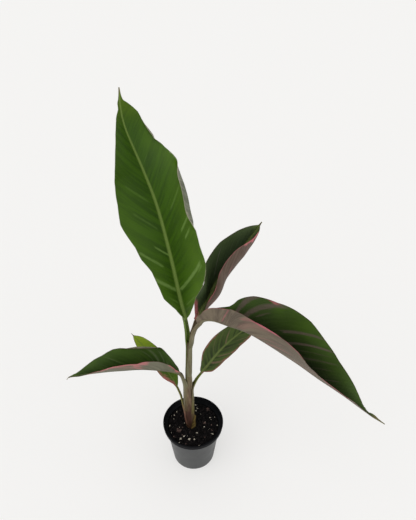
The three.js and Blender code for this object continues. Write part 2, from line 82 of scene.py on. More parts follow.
# Each leaf has its midrib as a line of points, its outline, the fold and curl
# of its halves (left, right) in degrees, and its stalk. Short lists run evenly
# from base to tip, and a place on a leaf goes from 0 at its base to 1.
# half, widest, base, tip, tail: greatest half width and the place where it
# lies, roundness towards base and tip, and share of the drawn-out tip.
# size, margin: share of that width, and extra width as (place, mm), by halves.
# roll: turn about the midrib. wave: height and length of the margin's waves.
# vein: how far side veins run forward per mm outwards at the base, and how
# much that grows towards the tip.
# rims: where a margin rolls in, as (half, from, to, inner part, degrees).
# streaks: pale bands along the veins, as (half, start on the midrib, nearest
# and farthest distance from it, half width, strength), in mm.
# patches: blush along a margin, as (half, from, to, depth in mm, strength).
# rib_wide, rib_taper: breadth of the midrib above, and how it thins below.
# painted light share: how far each half's outer part takes the lighter outer
# green, base to tip; painted light on the lit half, painted shade on the other.
# tip_from: the place where the tip's colour starts.
# sheath: clasps the stem from foot to leave, looks towards a way and reaches
# wrap degrees round each side, and stands off the stem where it leaves. slim
# is how far it then thins towards the petiole's radius at each via point.
# petiole: its radius. via: points that it passes from sheath to blade.
LEAVES = {
    "small_leaf": dict(
        rib=[(-25, 8, 179), (-40, 20, 201), (-67, 40, 223), (-101, 60, 254)],
        half=19.4, widest=0.41, base=1.34, tip=(2.0, 0.79), tail=0.04,
        fold=((24, 18, 14), (29, 25, 20)), curl=((0,), (0,)),
        size=((0.98, 1.03, 0.95, 1.04, 1), (0.99, 1.04, 0.97, 0.98, 1.01)),
        roll=(-6, 2, 8), wave=(0.4, 34), vein=(0.5, 2.0),
        margin=(((0, 0), (0.08, -2.4), (0.25, 1.5), (0.4, -2.4), (0.66, -2.2), (0.76, -1.2),
                 (0.82, 0.6), (0.95, 1), (1, 0)),
                ((0, 0), (0.2, 0.3), (0.3, -3.6), (0.38, -5), (0.5, -3.5), (0.62, -1.3),
                 (0.85, 1), (1, 0))),
        streaks=[(RIGHT, 30, 4, 15, 1.4, 0.5), (LEFT, 42, 3, 14, 1.2, 0.4)],
        patches=[(LEFT, 0.03, 0.27, 12, 1.0), (LEFT, 0.25, 0.5, 8, 0.6)],
        sheath=dict(foot=92, leave=120, towards=185, wrap=60, stand=1.1, slim=0.86), petiole=1.9,
        tip_from=0.35, via=[(-16.2, 3, 144), (-19.4, 5, 160)]),
    "right_leaf": dict(
        rib=[(15, 10, 214), (25, 17, 223), (47, 36, 241), (77, 60, 253), (117, 88, 264)],
        half=24, widest=0.45, base=1.8, tip=(1.94, 0.91), tail=0.04,
        fold=((31, 22, 20), (21, 17, 14)), curl=((0,), (0,)),
        size=((0.97, 1.01, 0.95, 0.98, 1), (1.03, 1, 0.98, 1.08, 1)),
        roll=(-13, -7, -9), wave=(0.5, 40), vein=(0.2, 2.4),
        margin=(((0, 0), (0.06, -2.2), (0.2, 0.4), (0.3, -0.4), (0.45, 0), (1, 0)),
                ((0, 0), (0.03, -5.4), (0.1, 0), (0.3, -0.8), (0.45, -0.5), (0.6, -0.4), (0.7, 0.6),
                 (0.85, -0.5), (1, 0))),
        streaks=[(LEFT, 60, 1, 14, 1.6, 0.9), (LEFT, 34, 8, 20, 1.0, 0.4),
                 (LEFT, 92, 2, 15, 1.4, 0.6), (RIGHT, 34, 6, 22, 1.6, 0.75),
                 (RIGHT, 22, 1, 21, 2.1, 0.9), (RIGHT, 65, 9, 20, 1.4, 0.7),
                 (RIGHT, 50, 3, 12, 0.9, 0.5)],
        patches=[(LEFT, 0.12, 0.46, 3.4, 0.8), (RIGHT, 0.0, 0.18, 5.5, 1.0),
                 (RIGHT, 0.16, 0.8, 4.5, 0.6)], rib_wide=1.5,
        sheath=dict(foot=122, leave=184, towards=5, wrap=75, stand=1.9, slim=0.75), petiole=2.1,
        via=[(3.2, 3.5, 196.5), (8.6, 6.5, 205.4)]),
    "left_leaf": dict(
        rib=[(-18, -5, 231), (-25, -7, 238), (-42, -9, 244.5), (-76, -12, 251),
             (-108, -12, 247.5), (-137, -10, 241), (-192, -4, 222), (-203, -3, 213)],
        half=35.5, widest=0.23, base=1.25, tip=(2.22, 0.98), tail=0.06,
        fold=((68, 63, 40), (49, 63, 45)), curl=((0,), (0,)),
        size=((0.75, 1.16, 0.93, 0.95, 1), (0.77, 1.06, 1.16, 1, 0.97)),
        roll=(3, 2, 10), wave=(0.35, 60), vein=(0.0, 2.6),
        margin=(((0, 0), (0.08, -3), (0.12, 2.5), (0.14, 5.5), (0.18, 7), (0.24, 10), (0.27, 8),
                 (0.31, 5.5), (0.345, -4.6), (0.38, -2.2), (0.42, 1), (0.46, 5), (0.5, 8),
                 (0.54, 5.2), (0.58, 1.3), (0.62, -2), (0.68, -1.8), (1, 0)),
                ((0, 0), (0.07, -2.6), (0.2, 1.4), (0.24, 2), (0.3, 2.4), (0.36, 2), (0.42, 0),
                 (0.46, -0.6), (0.53, 1.6), (0.62, -0.8), (0.7, 0.4), (0.84, -1.9),
                 (0.93, -1.2), (1, 0))),
        rims=[(RIGHT, 0.17, 0.47, 0.83, 125)],
        streaks=[(RIGHT, 33, 13, 34, 1.8, 0.7), (RIGHT, 82, 12, 25, 1.5, 0.45),
                 (RIGHT, 26, 10, 30, 1.0, 0.5), (RIGHT, 40, 8, 30, 1.0, 0.35),
                 (RIGHT, 22, 4, 14, 1.3, 0.5), (RIGHT, 108, 5, 15, 1.1, 0.3),
                 (LEFT, 11, 4, 15, 2.6, 0.9), (LEFT, 62, 9, 46, 14, 0.3)],
        patches=[(LEFT, 0.29, 0.375, 34, 0.9), (LEFT, 0.36, 0.62, 8.5, 1.0),
                 (LEFT, 0.55, 0.75, 2.0, 0.6), (LEFT, 0.04, 0.15, 4.5, 1.0)],
        sheath=dict(foot=130, leave=188, towards=225, wrap=112, stand=2.9), petiole=3.2,
        via=[(-10.4, -3.6, 202), (-13.4, -4.4, 217)]),
    "drooping_leaf": dict(
        rib=[(12.6, -8, 350.5), (20, -10, 359.8), (34, -14, 363.5), (53, -20, 360),
             (88, -32, 353), (148, -50, 317), (187, -60, 288), (227, -68, 258),
             (269, -74, 221), (298, -78, 199)],
        half=62.1, widest=0.43, base=1.8, tip=(1.26, 1.11), tail=0.1,
        fold=((56, 69, 42), (76, 64, 51)), curl=((0,), (0,)),
        size=((0.4, 1.13, 1.08, 1.07, 0.93), (1.19, 0.96, 0.93, 1.09, 1)),
        roll=(14, -13, -10), wave=(0.6, 95), vein=(-0.25, 3.0),
        margin=(((0, 0), (0.12, -7), (0.15, -3.5), (0.2, -1.5), (0.26, -4.6), (0.33, -2.6),
                 (0.4, -1), (0.45, 0.6), (0.62, 0.8), (0.83, 0.2), (0.86, -3.4), (0.9, -3),
                 (0.94, 7), (0.97, 5), (1, 0)),
                ((0, 0), (0.012, -7), (0.04, -14), (0.07, -7.5), (0.1, -3.6), (0.15, 0.4),
                 (0.19, -1.4), (0.225, -7.5), (0.27, -3.6), (0.33, 8.4), (0.38, 10.5),
                 (0.43, 6), (0.48, -5.5), (0.53, -9), (0.58, -1), (0.64, 6), (0.72, 2),
                 (0.9, 0), (0.94, 7), (0.97, 5), (1, 0))),
        streaks=[(LEFT, 52, 16, 60, 2.6, 0.95), (LEFT, 62, 20, 64, 2.8, 0.9),
                 (LEFT, 69, 26, 42, 1.1, 0.5), (LEFT, 96, 29, 60, 3.0, 0.85),
                 (LEFT, 118, 16, 52, 3.0, 0.9), (LEFT, 152, 12, 38, 3.0, 0.45),
                 (LEFT, 134, 20, 42, 1.3, 0.4), (LEFT, 176, 10, 26, 2.0, 0.3),
                 (LEFT, 211, 5, 15, 2.0, 0.6), (RIGHT, 39, 8, 45, 1.0, 0.6),
                 (RIGHT, 66, 6, 52, 6.0, 0.2), (RIGHT, 57, 34, 58, 3.0, 0.35),
                 (RIGHT, 92, 4, 40, 1.6, 0.3), (RIGHT, 109, 2, 34, 3.0, 0.45),
                 (RIGHT, 144, 6, 30, 2.4, 0.35)],
        patches=[(LEFT, 0.235, 0.265, 2.8, 1.0), (RIGHT, 0.22, 0.3, 6.0, 1.0),
                 (RIGHT, 0.33, 0.41, 2.2, 0.6), (RIGHT, 0.55, 0.72, 3.2, 0.6),
                 (RIGHT, 0.05, 0.12, 1.4, 0.5)], rib_taper=0.42,
        # painted light: the left half's outer part takes more of the lighter green towards the tip
        painted_light=((0.7, 1.5), (1, 1)), tip_from=0.55,
        sheath=dict(foot=218, leave=286, towards=-35, wrap=95, stand=1.1), petiole=3.8,
        via=[(0.2, -4.6, 303), (1.9, -5.4, 317), (4.2, -6, 328), (7.2, -6.8, 338)]),
    "back_leaf": dict(
        rib=[(8.5, 15.5, 331), (16, 25, 345), (26.5, 36, 356), (38, 58, 369),
             (68, 98, 387), (93, 130, 400), (113, 160, 409)],
        half=50.6, widest=0.43, base=2.04, tip=(1.7, 0.85), tail=0.04,
        fold=((84, 60, 58), (28, 30, 12)),
        curl=((-55, 0, 0, 0, 0, 0, 0), (25, 111, 113, 110, 109, 109, 109)),
        size=((0.97, 1.05, 0.93, 1.04, 1), (0.98, 0.96, 1.05, 0.97, 1)),
        roll=(-32, -15, -35), wave=(0.4, 60), vein=(0.3, 2.0),
        margin=(((0, 0), (0.02, -11), (0.04, -14.5), (0.07, -13), (0.1, -7.6), (0.12, -4),
                 (0.14, 1), (0.16, 8), (0.18, 14), (0.25, 15), (0.28, 12), (0.3, 7),
                 (0.34, 1.5), (0.37, 0.6), (0.45, -0.6), (0.55, 1), (0.62, -0.6), (0.7, -0.8),
                 (0.8, 0.6), (0.9, 0), (1, 0)),
                ((0, 0), (0.04, -3), (0.09, -8.5), (0.14, -10), (0.19, -3), (0.24, 4), (0.28, 7.5),
                 (0.33, 5.5), (0.37, 0.6), (0.42, 0.5), (0.5, 2.6), (0.6, 7), (0.66, 4), (0.7, 1.4),
                 (0.8, -1), (1, 0))),
        streaks=[(LEFT, 57, 14, 36, 1.5, 0.9), (LEFT, 36, 10, 30, 1.0, 0.4),
                 (LEFT, 92, 8, 24, 1.0, 0.4), (RIGHT, 44, 6, 40, 2.0, 0.4),
                 (RIGHT, 74, 10, 44, 1.6, 0.4), (RIGHT, 20, 5, 28, 2.0, 0.4)],
        patches=[(RIGHT, 0.16, 0.25, 3.5, 0.9), (RIGHT, 0.3, 0.64, 1.2, 0.4),
                 (RIGHT, 0.64, 0.86, 5, 1.0), (LEFT, 0.0, 0.13, 18, 1.0)], rib_wide=2.2,
        sheath=dict(foot=252, leave=288, towards=70, wrap=80, stand=1.1), petiole=3.2,
        via=[(-0.2, 6.2, 304), (4.2, 10.2, 318)]),
    "tall_leaf": dict(
        rib=[(-7, 2, 346), (-14, 8, 380), (-27, 30, 446), (-44, 60, 509),
             (-63, 85, 554), (-84, 108, 600), (-90, 118, 627), (-90.6, 125, 654)],
        half=58.4, widest=0.53, base=1.62, tip=(1.98, 0.88), tail=0.04,
        fold=((50, 18, 34), (47, 46, 7)), curl=((0,), (8,)),
        size=((0.97, 0.82, 1.02, 1.04, 0.6), (0.56, 1.25, 0.91, 0.88, 1.27)),
        roll=(6, 11, -17), wave=(0.5, 110), vein=(0.85, 0.4),
        margin=(((0, 0), (0.03, -1), (0.09, -4.6), (0.16, 3.1), (0.2, 0), (0.28, -2.3), (0.34, 1),
                 (0.39, -1.5), (0.5, 1.2), (0.58, -2), (0.65, -1.3), (0.71, 1.8), (0.78, 2.6),
                 (0.82, 1.6), (0.84, 0.5), (0.88, -3.1), (0.92, -4.6), (0.95, 0.9), (1, 0)),
                ((0, 1.5), (0.03, 2), (0.12, -2.4), (0.18, 0.9), (0.28, 0.6), (0.32, -2),
                 (0.35, -2.9), (0.39, -1.8), (0.405, -1), (0.42, 2.5), (0.44, 7), (0.46, 8),
                 (0.5, 8.2), (0.57, 9), (0.63, 8), (0.66, 6), (0.68, 4.5), (0.695, 2.5),
                 (0.72, -0.6), (0.74, -2), (0.765, -3.6), (0.78, -1.8), (0.86, -0.6),
                 (0.9, 3.4), (0.94, 2.5), (1, 0))),
        rims=[(RIGHT, 0.405, 0.665, 0.83, 185), (RIGHT, 0.73, 0.87, 0.88, 150)],
        streaks=[(LEFT, 81, 17, 47, 2.8, 0.7), (LEFT, 106, 2, 21, 2.0, 0.8),
                 (LEFT, 51, 4, 36, 3.8, 0.95), (LEFT, 140, 10, 40, 2.2, 0.25),
                 (LEFT, 178, 12, 40, 2.6, 0.2), (LEFT, 30, 6, 20, 2.0, 0.3),
                 (RIGHT, 49, 4, 52, 3.4, 0.95), (RIGHT, 44, 44, 54, 1.8, 0.6),
                 (RIGHT, 96, 36, 48, 2.2, 0.8), (RIGHT, 110, 32, 50, 2.4, 0.8),
                 (RIGHT, 150, 20, 44, 2.0, 0.3), (RIGHT, 20, 8, 26, 2.0, 0.4)],
        patches=[(RIGHT, 0.03, 0.26, 1.3, 0.9), (RIGHT, 0.4, 0.7, 1.5, 0.8),
                 (RIGHT, 0.74, 0.86, 2, 0.6)],
        # painted shade on the left half, none of the lighter outer green at the tip; painted light
        # on the right half
        sheath=None, petiole=3.6, painted_light=((0.6, 0), (1, 0.45)), rib_wide=1.25,
        via=[(-4.8, 0, 306), (-5.4, 0.4, 324)]),
}

# Finish of each leaf: grid steps along it and across a half, pattern seed,
# roughness of its face, then its colours. upper: shaded and lit green, outer
# part (painted light: a lighter green towards the margin, the fold left in
# painted shade), fine vein line, midrib, tip and streak. under: base, lighter
# bands, midrib. edge: margin, blush and the thin rim. stalk: sheath, its turned
# side, petiole, midrib seen from below.
FINISH = {
    "tall_leaf": dict(
        slot="leaf_green", steps=210, across=44, seed=1.7, gloss=0.42,
        upper=dict(shade="264204", light="345405", outer="4c6c0c", line="4c6926", rib="6a803a",
                   tip="4d6510", streak="6a8642"),
        under=dict(base="5a5e50", light="7a7c6c", rib="6a6e58"),
        edge=dict(margin="5c6c3c", blush="a09a84", rim="74785c"),
        stalk=("4c5a26", "56602c", "587426", "5c6e34")),
    "drooping_leaf": dict(
        slot="leaf_dark", steps=200, across=44, seed=2.9, gloss=0.46,
        upper=dict(shade="1d2711", light="2c381a", outer="3f5a12", line="36402a", rib="545640",
                   tip="48602a", streak="60504a"),
        under=dict(base="574c40", light="756957", rib="685c4e"),
        edge=dict(margin="4a3028", blush="b4616b", rim="603e38"),
        stalk=("5c6648", "6c684a", "716b52", "665e50")),
    "back_leaf": dict(
        slot="leaf_dark", steps=140, across=38, seed=5.1, gloss=0.46,
        upper=dict(shade="3c4a2e", light="475739", outer="42522c", line="4e5840", rib="626e38",
                   tip="6a8040", streak="6c6e5e"),
        under=dict(base="504036", light="6b594c", rib="5c4c40"),
        edge=dict(margin="4c322c", blush="c06a70", rim="603e38"),
        stalk=("5a5434", "664a3a", "62543a", "564c40")),
    "left_leaf": dict(
        slot="leaf_dark", steps=140, across=34, seed=6.3, gloss=0.44,
        upper=dict(shade="20340c", light="324814", outer="3e581a", line="465a2c", rib="566038",
                   tip="53761f", streak="5f6b4b"),
        under=dict(base="50523e", light="74715b", rib="66634c"),
        edge=dict(margin="4e342c", blush="b86a6c", rim="62443a"),
        stalk=("605a36", "6a5642", "68664a", "6a6652")),
    "right_leaf": dict(
        slot="leaf_dark", steps=110, across=28, seed=7.7, gloss=0.46,
        upper=dict(shade="232f12", light="485a25", outer="4a5a28", line="4c5c34", rib="62703a",
                   tip="4c6028", streak="745c4c"),
        under=dict(base="55584a", light="74725f", rib="64683e"),
        edge=dict(margin="5c4030", blush="a06058", rim="6a4a3e"),
        stalk=("585e2c", "66603a", "6a7628", "60643a")),
    "small_leaf": dict(
        slot="leaf_dark", steps=90, across=24, seed=8.2, gloss=0.46,
        upper=dict(shade="38500f", light="4e6a18", outer="58761c", line="5c7234", rib="627830",
                   tip="8aa224", streak="7a7a4c"),
        under=dict(base="5a5c44", light="767458", rib="6c6e40"),
        edge=dict(margin="6a4636", blush="b86468", rim="704c40"),
        stalk=("8a6456", "84584e", "74742a", "686a3c")),
}

SKIN = dict(stem="585a34", stem_warm="6a5e42", purple="402624", foot="382818", lip="5c4636",
            dry="706a44")


# ------------------------------------------------------------- curves and maths
def lerp(a, b, t):
    return a + (b - a) * t


def clamp(x, low=0.0, high=1.0):
    return min(max(x, low), high)


def smooth(x):
    x = clamp(x)
    return x * x * (3 - 2 * x)


def catmull(a, b, c, d, t):
    return 0.5 * (2 * b + (c - a) * t + (2 * a - 5 * b + 4 * c - d) * t * t
                  + (3 * b - a - 3 * c + d) * t * t * t)


def along(values, s):
    """Value at s (0..1) of a smooth line through evenly spaced values."""
    n = len(values) - 1
    if n == 0:
        return values[0]
    row = [2 * values[0] - values[1], *values, 2 * values[-1] - values[-2]]
    i = int(clamp(math.floor(s * n), 0, n - 1))
    return catmull(row[i], row[i + 1], row[i + 2], row[i + 3], s * n - i)


def knots(pairs, s):
    """Value at s of straight lines through (place, value) pairs."""
    for (a, low), (b, high) in zip(pairs, pairs[1:]):
        if s <= b:
            return lerp(low, high, clamp((s - a) / (b - a)))
    return pairs[-1][1]


def even_points(line, steps):
    """Points evenly spaced along a smooth line through the given points."""
    line = [Vector(p) for p in line]
    fine = [along(line, k / 400) for k in range(401)]
    reach = [0.0]
    for a, b in zip(fine, fine[1:]):
        reach.append(reach[-1] + (b - a).length)
    points, j = [], 0
    for i in range(steps + 1):
        target = reach[-1] * i / steps
        while j < 399 and reach[j + 1] < target:
            j += 1
        t = (target - reach[j]) / max(reach[j + 1] - reach[j], 1e-9)
        points.append(fine[j].lerp(fine[j + 1], clamp(t)))
    return points, reach[-1]


def directions(points):
    last = len(points) - 1
    return [(points[min(i + 1, last)] - points[max(i - 1, 0)]).normalized()
            for i in range(last + 1)]


def compass(degrees):
    return Vector((math.cos(math.radians(degrees)), math.sin(math.radians(degrees)), 0))


def rough(x, y, z=0.0):
    return noise.noise(Vector((x, y, z)))


def linear(hex_code):
    """Linear colour of an sRGB hex code."""
    parts = [int(hex_code[i:i + 2], 16) / 255 for i in (0, 2, 4)]
    return Vector([c / 12.92 if c <= 0.04045 else ((c + 0.055) / 1.055) ** 2.4 for c in parts])


def rgba(hex_code):
    return (*linear(hex_code), 1.0)


# ------------------------------------------------------------------ mesh tools
def only(piece):
    bpy.ops.object.select_all(action="DESELECT")
    piece.select_set(True)
    bpy.context.view_layer.objects.active = piece


def new_piece(name):
    piece = bpy.context.active_object
    piece.name = piece.data.name = name
    return piece


def shaped_grid(name, columns, rows, place):
    """A flat grid whose vertices are moved to place(column, row), in mm."""
    bpy.ops.object.select_all(action="DESELECT")
    bpy.ops.mesh.primitive_grid_add(x_subdivisions=columns, y_subdivisions=rows, size=1)
    piece = new_piece(name)
    stations = []
    for vertex in piece.data.vertices:
        column = round((vertex.co.x + 0.5) * columns)
        row = round((vertex.co.y + 0.5) * rows)
        stations.append((column, row))
        vertex.co = place(column, row) * MM
    return piece, stations


def close_up(piece):
    """Welds the seam, fills open ends and turns the faces outwards."""
    only(piece)
    bpy.ops.object.mode_set(mode="EDIT")
    bpy.ops.mesh.select_all(action="SELECT")
    bpy.ops.mesh.remove_doubles(threshold=WELD * MM)
    bpy.ops.mesh.fill_holes(sides=0)
    bpy.ops.mesh.select_all(action="SELECT")
    bpy.ops.mesh.normals_make_consistent(inside=False)
    bpy.ops.object.mode_set(mode="OBJECT")


def smooth_shade(piece, degrees):
    only(piece)
    bpy.ops.object.shade_smooth_by_angle(angle=math.radians(degrees))


def apply_modifiers(piece):
    only(piece)
    for modifier in list(piece.modifiers):
        bpy.ops.object.modifier_apply(modifier=modifier.name)


def store(piece, name, values, kind="FLOAT"):
    """Keeps one value, direction or colour per vertex for the materials."""
    layer = piece.data.attributes.new(name, kind, "POINT")
    if kind == "FLOAT":
        layer.data.foreach_set("value", values)
    elif kind == "FLOAT_VECTOR":
        layer.data.foreach_set("vector", [c for v in values for c in v])
    else:
        layer.data.foreach_set("color", [c for v in values for c in (*v, 1.0)])


def tube(name, rings, paint):
    """A closed tube through rings of points, in mm. paint(column, row) gives
    the grain place, the skin colour and the dryness of its lips."""
    rows, sides = len(rings) - 1, len(rings[0])
    piece, stations = shaped_grid(name, sides, rows, lambda c, r: rings[r][c % sides])
    marks = [paint(c % sides, r) for c, r in stations]
    store(piece, "grain", [m[0] for m in marks], "FLOAT_VECTOR")
    store(piece, "skin", [m[1] for m in marks], "FLOAT_COLOR")
    store(piece, "lip", [m[2] for m in marks])
    close_up(piece)
    return piece


def wear(piece, *materials):
    for material in materials:
        piece.data.materials.append(material)


def place_on_plant(piece, slot, *nodes):
    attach(piece, "root")
    if nodes:
        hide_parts(*nodes)
    return piece


# ------------------------------------------------------------------- materials
class Shader:
    """Short way to lay out shader nodes in a material or a node group."""

    def __init__(self, tree):
        self.tree = tree

    def node(self, kind, **values):
        node = self.tree.nodes.new("ShaderNode" + kind)
        for key, value in values.items():
            if key in node.inputs:
                self.feed(node.inputs[key], value)
            else:
                setattr(node, key, value)
        return node

    def feed(self, socket, value):
        if isinstance(value, bpy.types.NodeSocket):
            self.tree.links.new(value, socket)
        else:
            socket.default_value = value

    def math(self, operation, a, b=0.0, c=0.0):
        node = self.node("Math", operation=operation)
        for socket, value in zip(node.inputs, (a, b, c)):
            self.feed(socket, value)
        return node.outputs[0]

    def times(self, a, b):
        return self.math("MULTIPLY", a, b)

    def span(self, value, low, high, to_low=0.0, to_high=1.0):
        """Soft step from to_low to to_high as value goes from low to high."""
        node = self.node("MapRange", interpolation_type="SMOOTHSTEP")
        for socket, number in zip(node.inputs, (value, low, high, to_low, to_high)):
            self.feed(socket, number)
        return node.outputs[0]

    def mix(self, amount, a, b, blend="MIX"):
        node = self.node("Mix", data_type="RGBA", blend_type=blend)
        self.feed(node.inputs[0], amount)
        self.feed(node.inputs[6], a)
        self.feed(node.inputs[7], b)
        return node.outputs[2]

    def attribute(self, name, output="Fac"):
        return self.node("Attribute", attribute_name=name).outputs[output]

    def vector(self, x, y, z):
        node = self.node("CombineXYZ")
        for socket, value in zip(node.inputs, (x, y, z)):
            self.feed(socket, value)
        return node.outputs[0]

    def noise(self, vector, scale, detail=2.0, roughness=0.5):
        node = self.node("TexNoise", Scale=scale, Detail=detail, Roughness=roughness)
        self.feed(node.inputs["Vector"], vector)
        return node.outputs[0]

    def group(self, tree, **values):
        node = self.node("Group", node_tree=tree)
        for key, value in values.items():
            self.feed(node.inputs[key], value)
        return node.outputs

    def place(self):
        return self.node("TexCoord").outputs["Object"]

    def bump(self, height, strength, distance):
        node = self.node("Bump", Strength=strength, Distance=distance)
        self.feed(node.inputs["Height"], height)
        return node.outputs[0]


def new_material(name, roughness, ior, specular):
    material = bpy.data.materials.new(name)
    material.use_nodes = True
    surface = material.node_tree.nodes["Principled BSDF"]
    surface.inputs["Roughness"].default_value = roughness
    surface.inputs["IOR"].default_value = ior
    surface.inputs["Specular IOR Level"].default_value = specular
    return material, Shader(material.node_tree), surface


def finish(shader, surface, colour, height, strength, distance):
    shader.feed(surface.inputs["Base Color"], colour)
    shader.feed(surface.inputs["Normal"], shader.bump(height, strength, distance))


def node_group(name, inputs, outputs):
    tree = bpy.data.node_groups.new(name, "ShaderNodeTree")
    for socket in inputs:
        tree.interface.new_socket(socket, in_out="INPUT", socket_type="NodeSocketFloat")
    for socket in outputs:
        tree.interface.new_socket(socket, in_out="OUTPUT", socket_type="NodeSocketFloat")
    given, out = tree.nodes.new("NodeGroupInput"), tree.nodes.new("NodeGroupOutput")
    shader = Shader(tree)
    return tree, shader, [given.outputs[k] for k in inputs], \
        lambda **values: [shader.feed(out.inputs[k], v) for k, v in values.items()]


def vein_group():
    """Pattern along the side veins, from the place where a vein leaves the
    midrib and the distance from it: fine lines, soft bands, flecks, relief.
    Each noise is stretched by its lengths along the midrib and outwards, in mm."""
    tree, s, (vein, across, seed, spacing), give = node_group(
        "Side Veins", ("Vein", "Across", "Seed", "Spacing"), ("Line", "Band", "Fleck", "Height"))
    far = s.math("ABSOLUTE", across)
    drift = s.noise(s.vector(s.math("DIVIDE", vein, 11.0), s.math("DIVIDE", far, 26.0), seed), 1.0)
    phase = s.math("MULTIPLY_ADD", drift, 1.4, s.math("DIVIDE", vein, spacing))
    line = s.math("MULTIPLY_ADD", s.math("SINE", s.times(phase, 2 * math.pi)), 0.5, 0.5)
    wide = s.math("DIVIDE", far, 55.0)
    band = s.noise(s.vector(s.math("DIVIDE", vein, 6.5), wide, seed), 1.0, 3.0, 0.62)
    fleck = s.noise(s.vector(s.math("DIVIDE", vein, 2.2), s.math("DIVIDE", far, 30.0),
                             s.math("ADD", seed, 7.3)), 1.0, 2.0, 0.55)
    give(Line=line, Band=s.span(band, 0.37, 0.62), Fleck=s.span(fleck, 0.64, 0.8),
         Height=s.math("MULTIPLY_ADD", band, 1.6, s.times(line, 0.3)))
    return tree


def streak_group():
    """One pale streak that follows a vein and fades at its ragged ends."""
    tree, s, (vein, across, start, inner, outer, width), give = node_group(
        "Vein Streak", ("Vein", "Across", "Start", "Inner", "Outer", "Width"), ("Mask",))
    far = s.math("ABSOLUTE", across)
    ragged = s.noise(s.vector(s.math("DIVIDE", vein, 2.5), s.math("DIVIDE", far, 7.0), start),
                     1.0, 3.0)
    offset = s.math("ABSOLUTE", s.math("SUBTRACT", vein, s.math(
        "MULTIPLY_ADD", s.math("SUBTRACT", ragged, 0.5), 2.2, start)))
    band = s.span(offset, s.times(width, 1.25), s.times(width, 0.35))
    torn = s.math("MULTIPLY_ADD", ragged, 9.0, -4.5)
    near = s.math("ADD", far, torn)
    ends = s.times(s.span(near, s.math("ADD", inner, -2.5), s.math("ADD", inner, 2.0)),
                   s.span(near, s.math("ADD", outer, 2.0), s.math("ADD", outer, -4.0)))
    give(Mask=s.times(band, s.times(ends, s.span(ragged, 0.25, 0.6, 0.6, 1.0))))
    return tree


def leaf_masks(s, leaf, finish_of):
    """Vein pattern, all streaks of the leaf and the blush of its margin."""
    vein, across = s.attribute("vein"), s.attribute("across")
    veins = s.group(VEINS, Vein=vein, Across=across, Seed=finish_of["seed"],
                    Spacing=VEIN_SPACING)
    painted = None
    for half, start, inner, outer, width, strength in leaf["streaks"]:
        start += HALF_SHIFT if half == RIGHT else 0
        streak = s.group(STREAK, Vein=vein, Across=across, Inner=inner, Outer=outer,
                         Width=width, Start=start)
        mask = s.times(streak["Mask"], strength)
        painted = mask if painted is None else s.math("MAXIMUM", painted, mask)
    return veins, painted, s.attribute("blush")


def leaf_face(name, leaf, finish_of):
    """The upper side of a leaf."""
    tone, edge = finish_of["upper"], finish_of["edge"]
    material, s, surface = new_material(name + "_upper", finish_of["gloss"], 1.34, 0.3)
    veins, painted, blush = leaf_masks(s, leaf, finish_of)
    cloud = s.noise(s.place(), 30.0, 3.0)
    colour = s.mix(veins["Band"], rgba(tone["shade"]), rgba(tone["light"]))
    # Painted light: a lighter green towards the margin; the part by the fold keeps the darker green
    # as painted shade.
    outwards = s.times(s.attribute("outwards"), s.span(cloud, 0.3, 0.7, 0.55, 1.0))
    colour = s.mix(outwards, colour, rgba(tone["outer"]))
    colour = s.mix(s.times(veins["Line"], 0.26), colour, rgba(tone["line"]))
    colour = s.mix(s.times(s.attribute("tip"), 0.85), colour, rgba(tone["tip"]))
    colour = s.mix(s.times(veins["Fleck"], 0.22), colour, rgba(tone["streak"]))
    colour = s.mix(s.times(painted, 0.85), colour, rgba(tone["streak"]))
    rib = s.attribute("midrib")
    colour = s.mix(s.times(rib, 0.92), colour, rgba(tone["rib"]))
    colour = s.mix(s.times(blush, 0.75), colour, rgba(edge["blush"]))
    colour = s.mix(s.span(s.attribute("edge"), 0.9, 0.2, 0.0, 0.8), colour, rgba(edge["margin"]))
    colour = s.mix(s.attribute("dry"), colour, rgba(SKIN["dry"]))
    height = s.math("SUBTRACT", veins["Height"], s.times(rib, 0.6))
    finish(s, surface, colour, height, 0.4, 0.0006)
    return material


def leaf_back(name, leaf, finish_of):
    """The underside of a leaf: duller, with the streaks showing pink."""
    tone, edge = finish_of["under"], finish_of["edge"]
    material, s, surface = new_material(name + "_underside", 0.58, 1.36, 0.35)
    veins, painted, blush = leaf_masks(s, leaf, finish_of)
    colour = s.mix(veins["Band"], rgba(tone["base"]), rgba(tone["light"]))
    colour = s.mix(s.times(veins["Line"], 0.35), colour, rgba(tone["light"]))
    bloom = s.noise(s.place(), 22.0, 3.0)
    colour = s.mix(s.span(bloom, 0.4, 0.75, 0.0, 0.5), colour, rgba(tone["rib"]))
    colour = s.mix(s.times(painted, 0.7), colour, rgba(edge["blush"]))
    colour = s.mix(s.times(s.attribute("midrib"), 0.7), colour, rgba(tone["rib"]))
    colour = s.mix(s.times(blush, 0.9), colour, rgba(edge["blush"]))
    colour = s.mix(s.attribute("dry"), colour, rgba(SKIN["dry"]))
    finish(s, surface, colour, veins["Height"], 0.5, 0.0006)
    return material


def leaf_rim(name, finish_of):
    """The thin edge between the two sides."""
    edge = finish_of["edge"]
    material, s, surface = new_material(name + "_rim", 0.5, 1.36, 0.35)
    cloud = s.noise(s.place(), 90.0, 3.0)
    colour = s.mix(s.span(cloud, 0.35, 0.65), rgba(edge["rim"]), rgba(edge["margin"]))
    colour = s.mix(s.attribute("blush"), colour, rgba(edge["blush"]))
    finish(s, surface, s.mix(s.attribute("dry"), colour, rgba(SKIN["dry"])), cloud, 0.2, 0.0003)
    return material


